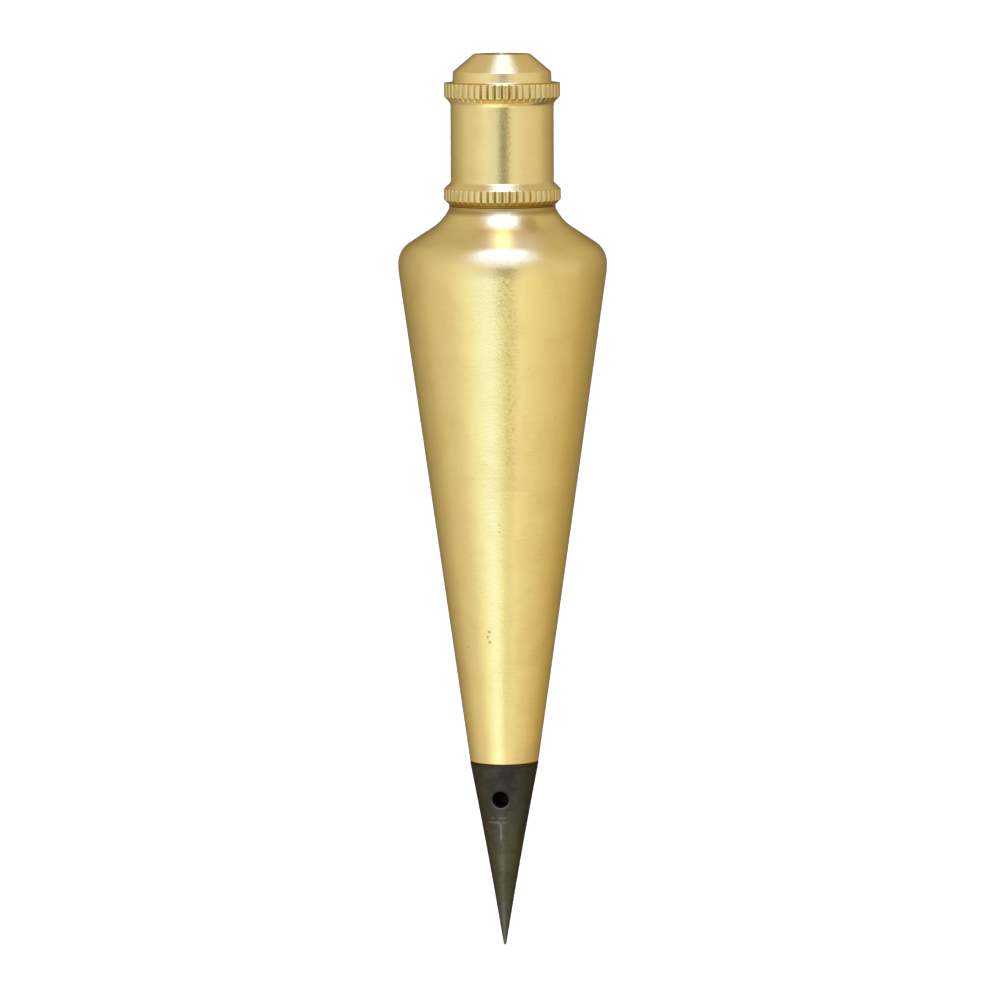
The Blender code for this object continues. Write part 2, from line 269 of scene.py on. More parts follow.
def make_cap():
    """Crown, knurled bands, neck, spigot and bore: one turned piece."""
    top = CAP_HEIGHT / MM
    spigot = Thread(CAP_THREAD_MAJOR, CAP_THREAD_FOOT, THREAD_TURNS)
    upper = rounded(
        in_metres(
            [
                (4.3, -9.62, 0),
                (4.3, 19.05, 0.1),
                (1.1, 20.973, 0.1),
                (1.1, top - 0.02, 0.28),
                (4.8, top, 0.25),
                (8.32, 22.68, 0.16),
                (8.42, 20.85, 0.3),
                (UPPER_BAND_RADIUS, 20.78, 0.16),
                (UPPER_BAND_RADIUS, 18.47, 0.2),
                (NECK_RADIUS, 17.33, 1.2),
                (NECK_RADIUS, 3.98, 0.4),
                (LOWER_BAND_RADIUS, 2.86, 0.3),
                (LOWER_BAND_RADIUS, 1.05, 0.2),
                (9.04, 0.18, 0.1),
                (9.0, 0.0, 0.06),
                (5.6, 0.0, 0.1),
                (5.4, -0.2, 0),
                (5.4, SPIGOT_SHOULDER, 0),
            ]
        ),
        turn_step=math.radians(11),
        longest=2.4 * MM,
    )
    thread_rows = straight((spigot.root, SPIGOT_SHOULDER * MM), (spigot.root, SPIGOT_END), FINE)
    outline = np.vstack((upper, thread_rows, [(spigot.root - 0.35 * MM, SPIGOT_END)]))
    rng = np.random.default_rng(7)
    depth = KNURL_DEPTH * (1 + KNURL_UNEVEN * rng.uniform(-1, 1, (2, KNURL_TEETH)))
    shares, profile = zip(*KNURL_TOOTH, (1, 0.0))

    def reshape(radius, height, angle):
        tooth = angle / math.tau * KNURL_TEETH
        number = np.floor(tooth + SAME).astype(int) % KNURL_TEETH
        groove = np.interp(tooth - np.floor(tooth + SAME), shares, profile)
        is_upper = height > 10 * MM
        low, high = (np.where(is_upper, *ends) * MM for ends in zip(UPPER_GROOVES, LOWER_GROOVES))
        inside = np.clip((high - height) / KNURL_RUN_OUT, 0, 1)
        widest = np.where(is_upper, UPPER_BAND_RADIUS, LOWER_BAND_RADIUS) * MM
        limit = widest - depth[is_upper.astype(int), number] * groove * np.sqrt(inside)
        radius = np.where((height >= low) & (height <= high), np.minimum(radius, limit), radius)
        in_thread = (height <= SPIGOT_SHOULDER * MM) & (radius > 5 * MM)
        chamfer = spigot.root + (height - SPIGOT_END) + 0.15 * MM
        cut = np.minimum(spigot.radius(height, angle), chamfer)
        return np.where(in_thread & (height > SPIGOT_END + SAME), cut, radius)

    columns = np.add.outer(np.arange(KNURL_TEETH), shares[:-1]).ravel()
    return lathe("turned_cap", outline, len(columns), reshape, CAP_SEAT, math.tau * columns / KNURL_TEETH)


def body_outside():
    """The outline from the top seat over the S-shaped shoulder and down the cone."""
    first, slope = math.radians(24), math.radians(57)
    top_radius, belly, foot_radius = 8.98 * MM, BODY_HIGH.x, 5.86 * MM
    hollow_radius, round_radius, blend_radius = 8.0 * MM, 4.25 * MM, 12 * MM
    hollow_centre = (top_radius + hollow_radius * math.cos(first), hollow_radius * math.sin(first))
    hollow = arc(hollow_centre, hollow_radius, math.pi + first, math.pi + slope, 30)
    land = [(9.08 * MM, -0.22 * MM), (9.095 * MM, -0.3 * MM)]
    hollow = np.vstack((land, hollow[hollow[:, 1] < -0.4 * MM]))
    slope_end = belly - round_radius + round_radius * math.cos(slope)
    drop = (slope_end - hollow[-1][0]) / math.tan(slope)
    round_centre = (belly - round_radius, hollow[-1][1] - drop - round_radius * math.sin(slope))
    shoulder = arc(round_centre, round_radius, slope, 0, 18)
    blend_centre = (belly - blend_radius, round_centre[1] - 0.2 * MM)
    cone = math.atan2(belly - foot_radius, BODY_LENGTH + blend_centre[1])
    blend = arc(blend_centre, blend_radius, 0, -cone, 8)
    end_centre = (foot_radius - 0.25 * MM, -BODY_LENGTH + 0.25 * MM)
    foot = arc(end_centre, 0.25 * MM, -cone, -math.pi / 2, 8)
    return np.vstack((hollow, shoulder, blend, straight(blend[-1], foot[0], 4 * MM)[1:-1], foot))


def make_body():
    """The weight, with a threaded socket in each end."""
    # the sockets' threads start whole turns before the screws' own, so that they are in step with them
    top_thread = Thread(CAP_THREAD_MAJOR, CAP_THREAD_FOOT + SEAM - PITCH, SOCKET_TURNS, SLACK)
    low_start = POINT_THREAD_FOOT - BODY_LENGTH - SEAM - 2 * PITCH
    low_thread = Thread(POINT_THREAD_MAJOR, low_start, SOCKET_TURNS, SLACK)
    foot = -BODY_LENGTH
    top_root, low_root = top_thread.root, low_thread.root
    bore = 4.05 * MM  # round the point's shank
    top_mouth, low_mouth = -1.3 * MM, foot + 2.4 * MM
    top_depth, low_depth = -10.6 * MM, foot + 12.5 * MM
    outline = np.vstack(
        (
            [(0, -15.4 * MM), (top_root - SLACK, -12.0 * MM), (top_root - SLACK, top_depth)],
            straight((top_root, top_depth), (top_root, top_mouth), FINE),
            rounded(
                [
                    (6.75 * MM, top_mouth, 0),
                    (6.75 * MM, SEAM_CLOSED, 0.2 * MM),
                    (9.04 * MM, SEAM_CLOSED, 0.08 * MM),
                    (9.06 * MM, -0.1 * MM, 0),
                ]
            ),
            body_outside(),
            rounded(
                [
                    (5.5 * MM, foot, 0),
                    (bore, foot, 0.2 * MM),
                    (bore, low_mouth, 0.1 * MM),
                    (low_root + low_thread.depth, low_mouth, 0),
                ]
            ),
            straight((low_root, low_mouth + FINE), (low_root, low_depth), FINE),
            [(low_root - SLACK, low_depth), (low_root - SLACK, foot + 13.2 * MM), (0, foot + 14.7 * MM)],
        )
    )

    def reshape(radius, height, angle):
        in_top = (np.abs(radius - top_root) < SAME) & (height > top_depth) & (height < top_mouth + SAME)
        in_low = (np.abs(radius - low_root) < SAME) & (height > low_mouth) & (height < low_depth)
        # both threads open out into a countersink at their mouth
        top_sink = top_root + top_thread.depth - (top_mouth - height)
        low_sink = low_root + low_thread.depth - (height - low_mouth)
        radius = np.where(in_top, np.maximum(top_thread.radius(height, angle), top_sink), radius)
        return np.where(in_low, np.maximum(low_thread.radius(height, angle), low_sink), radius)

    return lathe("turned_body", outline, 256, reshape, BODY_TOP)


def make_point():
    """The steel point, with its shank, groove and stud, and the hole for a tommy bar."""
    stud = Thread(POINT_THREAD_MAJOR, POINT_THREAD_FOOT, THREAD_TURNS)
    nose, radius = 0.24 * MM, 5.83 * MM
    cone = math.atan2(radius - nose, POINT_LENGTH)
    tip = arc((0, -POINT_LENGTH + nose), nose, -math.pi / 2, -cone, 8)
    shank = rounded(
        [
            (tip[-1][0], tip[-1][1], 0),
            (radius, 0, 0),
            (radius, SEAM_CLOSED, 0.07 * MM),
            (SHANK_RADIUS * MM, SEAM_CLOSED, 0.1 * MM),
            *in_metres(
                [
                    (SHANK_RADIUS, GROOVE[0], 0.06),
                    (GROOVE_RADIUS, GROOVE[0], 0.1),
                    (GROOVE_RADIUS, GROOVE[1], 0.1),
                    (SHANK_RADIUS, GROOVE[1], 0.06),
                    (SHANK_RADIUS, 2.5, 0.2),
                    (RELIEF_RADIUS, 2.5, 0.2),
                    (RELIEF_RADIUS, RELIEF_END, 0),
                ]
            ),
        ],
        longest=1 * MM,
    )
    rows = straight((stud.root, RELIEF_END * MM), (stud.root, STUD_END), FINE)
    outline = np.vstack((tip, shank[1:], rows, [(stud.root - 0.3 * MM, STUD_END), (0, STUD_END)]))
    down = np.clip(-outline[:, 1] / POINT_LENGTH, 0, 1)
    outline[:, 0] -= POINT_HOLLOW * np.sin(math.pi * down) * (outline[:, 0] > nose)

    def reshape(radius, height, angle):
        in_thread = (height > RELIEF_END * MM) & (height < STUD_END - SAME) & (radius > 2 * MM)
        chamfer = stud.root + (STUD_END - height) + 0.1 * MM
        cut = np.minimum(stud.radius(height, angle), chamfer)
        return np.where(in_thread, cut, radius)

    point = lathe("turned_point", outline, 144, reshape, POINT_SEAT)
    wall = radius * (1 - TOMMY_DROP * MM / POINT_LENGTH)
    hole, end, outside = 1.43 * MM, wall - 7 * MM, wall + 1.6 * MM
    drill_outline = rounded(
        [
            (0, end - 0.8 * MM, 0),
            (hole, end, 0.05 * MM),
            (hole, wall - 0.12 * MM, 0.3 * MM),
            (3.2 * MM, outside, 0),
            (0, outside, 0),
        ]
    )
    drill = lathe("tommy_drill", drill_outline, 72)
    to_front = Matrix.Rotation(-math.radians(TOMMY_TURN), 4, "Z") @ Matrix.Rotation(math.pi / 2, 4, "X")
    drill.matrix_world = Matrix.Translation((0, 0, POINT_SEAT - TOMMY_DROP * MM)) @ to_front
    cut = point.modifiers.new("tommy_hole", "BOOLEAN")
    cut.object = drill
    cut.operation = "DIFFERENCE"
    bpy.context.view_layer.update()
    mesh = bpy.data.meshes.new_from_object(point.evaluated_get(bpy.context.evaluated_depsgraph_get()))
    bpy.data.objects.remove(point)
    bpy.data.objects.remove(drill)
    mesh.name = "turned_point"
    return finished("turned_point", mesh, sharp=14)


def make_knot_cup():
    """The loose cup that the cord's knot pulls up against, coned to fit the end of the cap's chamber."""
    top, height = CUP_HIGH.z, CUP_HIGH.z - CUP_LOW.z
    outline = rounded(
        [
            (1.6 * MM, -0.3 * MM, 0),
            (1.1 * MM, 0, 0.12 * MM),
            (3.9 * MM, -1.682 * MM, 0.15 * MM),
            (3.9 * MM, -height, 0.15 * MM),
            (2.7 * MM, -height, 0.15 * MM),
            (2.7 * MM, -1.6 * MM, 0.3 * MM),
            (1.1 * MM, -1.6 * MM, 0.15 * MM),
            (1.1 * MM, -0.01 * MM, 0),
        ]
    )
    return lathe("turned_knot_cup", outline[1:], 96, lift=top)


def make_ring():
    """The rubber ring, with the fine flash line that its mould leaves."""
    centre = (RING_LOW.z + RING_HIGH.z) / 2
    section = arc((3.37 * MM, 0), 0.44 * MM, 0, math.tau, 40)[:-1]
    angle = np.linspace(0, math.tau, 41)[:-1]
    flash = 0.012 * MM * (np.exp(-((np.sin(angle) / 0.12) ** 2)) - 1)
    section = section + flash[:, None] * np.column_stack((np.cos(angle), np.sin(angle)))
    return lathe("moulded_ring", section, 96, lift=centre)


# ---------------------------------------------------------------- materials


class Nodes:
    """Short names for adding and joining shader nodes."""

    def __init__(self, name):
        self.material = bpy.data.materials.new(name)
        self.material.use_nodes = True
        self.tree = self.material.node_tree
        self.shader = self.tree.nodes["Principled BSDF"]

    def add(self, kind, **settings):
        node = self.tree.nodes.new(kind)
        for key, value in settings.items():
            setattr(node, key, value)
        return node

    def put(self, socket, value):
        if isinstance(value, bpy.types.NodeSocket):
            self.tree.links.new(value, socket)
        else:
            socket.default_value = value

    def math(self, operation, *values):
        node = self.add("ShaderNodeMath", operation=operation)
        for socket, value in zip(node.inputs, values):
            self.put(socket, value)
        return node.outputs[0]

    def vector(self, operation, *values):
        node = self.add("ShaderNodeVectorMath", operation=operation)
        for socket, value in zip(node.inputs, values):
            self.put(socket, value)
        return node.outputs["Value"] if operation == "DISTANCE" else node.outputs[0]

    def combine(self, x, y, z):
        node = self.add("ShaderNodeCombineXYZ")
        for socket, value in zip(node.inputs, (x, y, z)):
            self.put(socket, value)
        return node.outputs[0]

    def noise(self, vector, scale, detail=2.0, roughness=0.5, distortion=0.0):
        node = self.add("ShaderNodeTexNoise")
        self.put(node.inputs["Vector"], vector)
        self.put(node.inputs["Scale"], scale)
        self.put(node.inputs["Detail"], detail)
        self.put(node.inputs["Roughness"], roughness)
        self.put(node.inputs["Distortion"], distortion)
        return node.outputs["Fac"]

    def remap(self, value, low, high, out_low=0.0, out_high=1.0, smooth=False):
        node = self.add("ShaderNodeMapRange", interpolation_type="SMOOTHSTEP" if smooth else "LINEAR")
        for key, given in (
            ("Value", value),
            ("From Min", low),
            ("From Max", high),
            ("To Min", out_low),
            ("To Max", out_high),
        ):
            self.put(node.inputs[key], given)
        return node.outputs["Result"]

    def mix(self, share, first, second):
        node = self.add("ShaderNodeMix", data_type="RGBA")
        self.put(node.inputs[0], share)
        self.put(node.inputs[6], first)
        self.put(node.inputs[7], second)
        return node.outputs[2]

    def bump(self, height, distance):
        node = self.add("ShaderNodeBump")
        self.put(node.inputs["Height"], height)
        self.put(node.inputs["Distance"], distance)
        self.put(node.inputs["Strength"], 1.0)
        return node.outputs[0]

    def brush(self, anisotropic, tint):
        """Metal brushed round the axis. tint is its colour seen from the side, as its silhouette shows it."""
        self.shader.inputs["Metallic"].default_value = 1.0
        self.shader.inputs["Specular Tint"].default_value = tint
        self.shader.inputs["Anisotropic"].default_value = anisotropic
        self.shader.inputs["Anisotropic Rotation"].default_value = 0.25
        tangent = self.add("ShaderNodeTangent", direction_type="RADIAL", axis="Z")
        self.put(self.shader.inputs["Tangent"], tangent.outputs[0])

    def finish(self, colour, roughness, normal):
        self.put(self.shader.inputs["Base Color"], colour)
        self.put(self.shader.inputs["Roughness"], roughness)
        self.put(self.shader.inputs["Normal"], normal)
        return self.material


def polar(nodes):
    """In mm: (position, radius, cosine and sine of the angle, height, distance along the outline)."""
    place = nodes.vector("MULTIPLY", nodes.add("ShaderNodeTexCoord").outputs["Object"], (1000, 1000, 1000))
    split = nodes.add("ShaderNodeSeparateXYZ")
    nodes.put(split.inputs[0], place)
    x, y, z = split.outputs
    radius = nodes.math("SQRT", nodes.math("ADD", nodes.math("MULTIPLY", x, x), nodes.math("MULTIPLY", y, y)))
    safe = nodes.math("MAXIMUM", radius, 0.05)
    cosine, sine = nodes.math("DIVIDE", x, safe), nodes.math("DIVIDE", y, safe)
    along = nodes.math("SUBTRACT", z, nodes.math("MULTIPLY", radius, 0.8))
    return place, radius, cosine, sine, z, along


# brown for dirt, also used for the painted shade at the seams and the painted reflection specks
DIRT_AND_SHADE_COLOUR = (0.31, 0.175, 0.025, 1)
# bare steel for wear and scratches, and for the painted highlight on the hole's lower rim
BARE_AND_HIGHLIGHT_STEEL = (0.27, 0.245, 0.19, 1)
BLACKENED_STEEL = (0.088, 0.078, 0.053, 1)
LOWER_STEEL = (0.100, 0.087, 0.050, 1)
TIP_STEEL = (0.112, 0.107, 0.076, 1)
# painted reflection of the brass foot, on the steel's top edge
BRASS_REFLECTION_COLOUR = (0.060, 0.034, 0.010, 1)
DARK_STEEL = (0.036, 0.033, 0.026, 1)
# for stains, and for a painted dark reflection just under the brass
STAIN_AND_REFLECTION_STEEL = (0.034, 0.030, 0.023, 1)


def turning_lines(nodes, cosine, sine, along, pitch, wander=1.0, detail=3.0):
    """Noise in rings round the axis, about pitch mm apart, which wanders slowly round each ring."""
    rings = nodes.combine(
        nodes.math("MULTIPLY", cosine, wander),
        nodes.math("MULTIPLY", sine, wander),
        nodes.math("DIVIDE", along, pitch),
    )
    return nodes.noise(rings, 1.0, detail=detail, roughness=0.65)


def surface_point(angle, height, radius):
    """A place on the surface, in mm, from its angle left (-) or right (+) of the front and its height."""
    turn = math.radians(angle)
    return (radius * math.sin(turn), -radius * math.cos(turn), height)


def brass(
    name, colour, dull, roughness, anisotropic, grit=5.0, marks=(), knurls=(), seam_shade=(), stains=(), stripe_specks=()
):
    """Turned brass, with sizes in mm.

    grit is how rough the grain is. marks are small knocks and stains are brown patches, as (place, size).
    knurls are bands of grooves, darker deeper in the grooves, as (low, high, radius).
    the seam shade darkens the edges at the seams with painted shade, as (height, reach, strength).
    the stripe specks are strips of painted dark specks, a painted reflection of the dark stripe near the
    front, as (from, to, top, bottom, strength), from and to in radians."""
    nodes = Nodes(name)
    place, radius, cosine, sine, z, along = polar(nodes)
    fine = turning_lines(nodes, cosine, sine, along, 0.085, wander=1.4, detail=4)
    broad = turning_lines(nodes, cosine, sine, along, 0.9, wander=0.6, detail=2)
    cloud = nodes.noise(place, 0.16, detail=3, roughness=0.6, distortion=0.6)
    grain = nodes.noise(place, 2.4, detail=3, roughness=0.7)
    pit = nodes.remap(nodes.noise(place, 1.5, detail=1), 0.79, 0.81)
    wear = nodes.remap(nodes.add("ShaderNodeNewGeometry").outputs["Pointiness"], 0.505, 0.56)
    shade = nodes.math("ADD", nodes.math("MULTIPLY", fine, 0.35), nodes.math("MULTIPLY", cloud, 0.65))
    tarnish = nodes.remap(shade, 0.42, 0.68, smooth=True)
    surface = nodes.mix(tarnish, colour, dull)
    bright = (min(1, colour[0] * 1.08), colour[1] * 1.1, colour[2] * 1.25, 1)
    surface = nodes.mix(nodes.math("MULTIPLY", wear, 0.5), surface, bright)
    height = nodes.math("ADD", nodes.math("MULTIPLY", fine, 0.6), nodes.math("MULTIPLY", broad, 0.25))
    height = nodes.math("ADD", height, nodes.math("MULTIPLY", grain, grit))
    height = nodes.math("SUBTRACT", height, nodes.math("MULTIPLY", pit, 0.8))
    dirt_and_painted_shade = nodes.math("MULTIPLY", pit, 0.5)
    for centre, size in marks:
        spot = nodes.remap(nodes.vector("DISTANCE", place, centre), size, size * 0.45)
        height = nodes.math("SUBTRACT", height, nodes.math("MULTIPLY", spot, 2.5))
        dirt_and_painted_shade = nodes.math("MAXIMUM", dirt_and_painted_shade, nodes.math("MULTIPLY", spot, 0.55))
    for low, high, widest in knurls:
        on_band = band(nodes, z, low, high, 0.15)
        on_band = nodes.math("MULTIPLY", on_band, nodes.remap(radius, widest - 0.75, widest - 0.6))
        deep = nodes.math("MULTIPLY", nodes.remap(radius, widest - 0.03, widest - 0.2), 0.36)
        dirt_and_painted_shade = nodes.math("MAXIMUM", dirt_and_painted_shade, nodes.math("MULTIPLY", on_band, nodes.math("ADD", deep, 0.14)))
    # painted shade: darker near each seam between the pieces
    for level, reach, strength in seam_shade:
        seam_shade_mask = nodes.remap(nodes.math("ABSOLUTE", nodes.math("SUBTRACT", z, level)), reach, reach * 0.5)
        dirt_and_painted_shade = nodes.math("MAXIMUM", dirt_and_painted_shade, nodes.math("MULTIPLY", seam_shade_mask, strength))
    for centre, size in stains:
        patch = nodes.remap(nodes.vector("DISTANCE", place, centre), size, size * 0.3, smooth=True)
        dirt_and_painted_shade = nodes.math("MAXIMUM", dirt_and_painted_shade, nodes.math("MULTIPLY", patch, 0.42))
    angle = nodes.math("ARCTAN2", cosine, nodes.math("MULTIPLY", sine, -1))
    # painted reflection: dark specks in strips near the front, where the dark stripe shows in the metal
    for left, right, top, bottom, strength in stripe_specks:
        across = band(nodes, angle, left, right, 0.03)
        stripe_area = nodes.math("MULTIPLY", across, band(nodes, z, bottom, top, 2.5))
        speck_noise = nodes.noise(place, 1.7, detail=3, roughness=0.75)
        painted_specks = nodes.remap(speck_noise, 0.44, 0.68, smooth=True)
        painted_specks = nodes.math("MULTIPLY", nodes.math("MULTIPLY", stripe_area, painted_specks), strength)
        dirt_and_painted_shade = nodes.math("MAXIMUM", dirt_and_painted_shade, painted_specks)
    # dirt, painted shade at the seams and painted reflection specks, in one brown
    surface = nodes.mix(dirt_and_painted_shade, surface, DIRT_AND_SHADE_COLOUR)
    gloss = nodes.math("ADD", roughness - 0.09, nodes.math("MULTIPLY", fine, 0.10))
    gloss = nodes.math("ADD", gloss, nodes.math("MULTIPLY", cloud, 0.08))
    gloss = nodes.math("ADD", gloss, nodes.math("MULTIPLY", dirt_and_painted_shade, 0.15))
    nodes.brush(anisotropic, (0.86, 0.75, 0.50, 1))
    return nodes.finish(surface, gloss, nodes.bump(height, 0.0045 * MM))


def steel(name):
    """Hardened steel, blackened by heat, worn paler towards its tip, with scratches, a painted highlight on
    the lower rim of its hole, a painted reflection of the brass along its top edge and a painted dark
    reflection at the front under the brass.
    """
    nodes = Nodes(name)
    place, _, cosine, sine, z, along = polar(nodes)
    fine = turning_lines(nodes, cosine, sine, along, 0.11, wander=1.5, detail=4)
    cloud = nodes.noise(place, 0.3, detail=4, roughness=0.65, distortion=0.8)
    grain = nodes.noise(place, 1.8, detail=4, roughness=0.7)
    low = nodes.remap(z, POINT_SEAT_MM - 7, POINT_SEAT_MM - 16, smooth=True)
    tip = nodes.remap(z, POINT_SEAT_MM - 19, POINT_SEAT_MM - 27, smooth=True)
    surface = nodes.mix(low, BLACKENED_STEEL, LOWER_STEEL)
    surface = nodes.mix(nodes.math("MULTIPLY", tip, 0.8), surface, TIP_STEEL)
    # painted reflection: the brass foot above shows as a brown band along the steel's top edge
    brass_reflection = nodes.remap(z, POINT_SEAT_MM - 0.6, POINT_SEAT_MM - 0.1)
    surface = nodes.mix(nodes.math("MULTIPLY", brass_reflection, 0.6), surface, BRASS_REFLECTION_COLOUR)
    mottle = nodes.math("ADD", nodes.math("MULTIPLY", cloud, 0.55), nodes.math("MULTIPLY", grain, 0.3))
    mottle = nodes.math("ADD", mottle, nodes.math("MULTIPLY", fine, 0.15))
    stain = nodes.remap(mottle, 0.42, 0.6, smooth=True)
    surface = nodes.mix(nodes.math("MULTIPLY", stain, 0.35), surface, DARK_STEEL)
    # stains, and one painted dark reflection and shade just under the brass at the front
    for centre, size in STEEL_STAINS_AND_REFLECTION:
        patch = nodes.remap(nodes.vector("DISTANCE", place, centre), size, size * 0.35, smooth=True)
        surface = nodes.mix(nodes.math("MULTIPLY", patch, 0.6), surface, STAIN_AND_REFLECTION_STEEL)
    from_hole = nodes.vector("DISTANCE", place, HOLE_MOUTH)
    wear = nodes.remap(nodes.add("ShaderNodeNewGeometry").outputs["Pointiness"], 0.51, 0.58)
    wear = nodes.math("MULTIPLY", wear, nodes.remap(from_hole, 3.2, 4.0))
    # painted highlight: the lower rim of the hole is painted pale
    rim_highlight = band(nodes, from_hole, 1.42, 1.66, 0.1)
    rim_highlight = nodes.math("MULTIPLY", rim_highlight, nodes.remap(z, HOLE_MOUTH[2], HOLE_MOUTH[2] - 1.2))
    angle = nodes.math("ARCTAN2", cosine, nodes.math("MULTIPLY", sine, -1))
    scratch = None
    for low_angle, high_angle, top, bottom, share in SCRATCHES:
        across = band(nodes, angle, low_angle, high_angle, 0.03)
        inside = nodes.math("MULTIPLY", band(nodes, z, bottom, top, 0.07), across)
        inside = nodes.math("MULTIPLY", inside, share)
        scratch = inside if scratch is None else nodes.math("MAXIMUM", scratch, inside)
    broken = nodes.remap(nodes.noise(place, 1.9, detail=2), 0.25, 0.45)
    scratch = nodes.math("MULTIPLY", scratch, broken)
    bare_and_highlight = nodes.math("MAXIMUM", nodes.math("MULTIPLY", wear, 0.6), scratch)
    bare_and_highlight = nodes.math("MAXIMUM", bare_and_highlight, nodes.math("MULTIPLY", rim_highlight, 0.5))
    surface = nodes.mix(bare_and_highlight, surface, BARE_AND_HIGHLIGHT_STEEL)
    height = nodes.math("ADD", nodes.math("MULTIPLY", fine, 0.6), nodes.math("MULTIPLY", grain, 1.8))
    height = nodes.math("SUBTRACT", height, nodes.math("MULTIPLY", scratch, 1.2))
    gloss = nodes.math("ADD", nodes.remap(low, 0, 1, 0.42, 0.20), nodes.math("MULTIPLY", fine, 0.12))
    gloss = nodes.math("ADD", gloss, nodes.math("MULTIPLY", stain, 0.10))
    nodes.brush(0.5, (0.60, 0.56, 0.42, 1))
    return nodes.finish(surface, gloss, nodes.bump(height, 0.006 * MM))


def band(nodes, value, low, high, soft):
    """1 where value lies between low and high, falling to 0 over soft."""
    rise = nodes.remap(value, low - soft, low + soft)
    fall = nodes.remap(value, high - soft, high + soft)
    return nodes.math("SUBTRACT", rise, fall)


def rubber(name):
    """Matt black rubber with a faint bloom."""
    nodes = Nodes(name)
    place = nodes.vector("MULTIPLY", nodes.add("ShaderNodeTexCoord").outputs["Object"], (1000, 1000, 1000))
    bloom = nodes.noise(place, 0.7, detail=4, roughness=0.6)
    grain = nodes.noise(place, 9, detail=3)
    surface = nodes.mix(bloom, (0.012, 0.012, 0.012, 1), (0.035, 0.034, 0.032, 1))
    return nodes.finish(surface, nodes.remap(grain, 0, 1, 0.55, 0.8), nodes.bump(grain, 0.01 * MM))


def floor_paint(name):
    """Pale matt paint."""
    nodes = Nodes(name)
    place = nodes.add("ShaderNodeTexCoord").outputs["Object"]
    mottle = nodes.noise(place, 6, detail=4)
    surface = nodes.mix(mottle, (0.90, 0.90, 0.90, 1), (0.93, 0.93, 0.93, 1))
    return nodes.finish(surface, nodes.remap(mottle, 0, 1, 0.7, 0.9), nodes.bump(mottle, 0.2 * MM))


# Thin bright scratches on the point: angles from and to in radians right of the front, heights top and bottom
# in mm, and how bright
POINT_SEAT_MM = POINT_SEAT / MM
SCRATCHES = (
    (-0.76, 0.04, POINT_SEAT_MM - 9.75, POINT_SEAT_MM - 10.0, 0.55),
    (-0.22, -0.12, POINT_SEAT_MM - 10.0, POINT_SEAT_MM - 13.0, 0.4),
    (-0.62, -0.42, POINT_SEAT_MM - 8.95, POINT_SEAT_MM - 9.2, 0.3),
    (-0.28, 0.04, POINT_SEAT_MM - 8.9, POINT_SEAT_MM - 9.15, 0.3),
)
HOLE_MOUTH = surface_point(-TOMMY_TURN, POINT_SEAT_MM - TOMMY_DROP, 4.7)
# Darker patches round the hole: stains where the heat blackening is heaviest, and (the second) a painted dark
# reflection and shade just under the brass at the front: (place in mm, size in mm)
STEEL_STAINS_AND_REFLECTION = (
    (surface_point(-6, POINT_SEAT_MM - 3.6, 5.1), 3.4),
    (surface_point(4, POINT_SEAT_MM - 1.2, 5.6), 2.4),
    (surface_point(150, POINT_SEAT_MM - 5.0, 4.9), 3.6),
)
# Small knocks on the body: (place in mm, size in mm)
BODY_MARKS = (
    (surface_point(-16, -97.4, 9.0), 0.42),
    (surface_point(-18, -98.3, 8.9), 0.34),
    (surface_point(-16, -99.2, 8.8), 0.38),
    (surface_point(-3.3, -78.9, 11.6), 0.24),
    (surface_point(-3.3, -80.1, 11.5), 0.2),
    (surface_point(-44, -100.3, 8.6), 0.22),
    (surface_point(38, -61.0, 14.1), 0.24),
    (surface_point(128, -70.0, 12.8), 0.3),
    (surface_point(-150, -52.0, 15.3), 0.26),
)

# Where the cap is knurled: (low, high, radius) in mm
CAP_SEAT_MM = CAP_SEAT / MM
CAP_KNURLS = ((CAP_SEAT_MM + 0.3, CAP_SEAT_MM + 2.95, 9.93), (CAP_SEAT_MM + 18.1, CAP_SEAT_MM + 20.83, 9.85))
# Painted shade along the seams: (height, reach, strength) in mm
CAP_SEAM_SHADE = ((CAP_SEAT_MM, 0.52, 0.88),)
BODY_SEAM_SHADE = ((BODY_TOP / MM, 1.3, 0.62), (BODY_LOW.z / MM, 0.16, 0.4))
# Strips of painted dark specks near the front, a painted reflection of the dark stripe that the metal shows
# there: (from, to, top, bottom, strength)
CAP_STRIPE_SPECKS = ((-0.05, 0.16, CAP_SEAT_MM + 17, CAP_SEAT_MM + 4.5, 0.5),)
BODY_STRIPE_SPECKS = (
    (-0.06, 0.1, BODY_TOP / MM - 9.0, BODY_TOP / MM - 17, 0.36),
    (0.0, 0.14, BODY_TOP / MM - 16, BODY_TOP / MM - 27, 0.29),
    (0.02, 0.15, BODY_TOP / MM - 26, BODY_TOP / MM - 46, 0.26),
)
BODY_STAINS = ((surface_point(24, -27.8, 11.0), 2.7),)

# ---------------------------------------------------------------- build

bright_brass = brass(
    "bright_brass",
    (0.86, 0.66, 0.29, 1),
    (0.82, 0.61, 0.26, 1),
    roughness=0.21,
    anisotropic=0.7,
    grit=6.0,
    knurls=CAP_KNURLS,
    seam_shade=CAP_SEAM_SHADE,
    stripe_specks=CAP_STRIPE_SPECKS,
)
plain_brass = brass(
    "plain_brass", (0.80, 0.60, 0.27, 1), (0.70, 0.50, 0.21, 1), roughness=0.32, anisotropic=0.5
)
satin_brass = brass(
    "satin_brass",
    (0.86, 0.66, 0.28, 1),
    (0.82, 0.61, 0.25, 1),
    roughness=0.235,
    anisotropic=0.74,
    grit=8.0,
    marks=BODY_MARKS,
    seam_shade=BODY_SEAM_SHADE,
    stains=BODY_STAINS,
    stripe_specks=BODY_STRIPE_SPECKS,
)

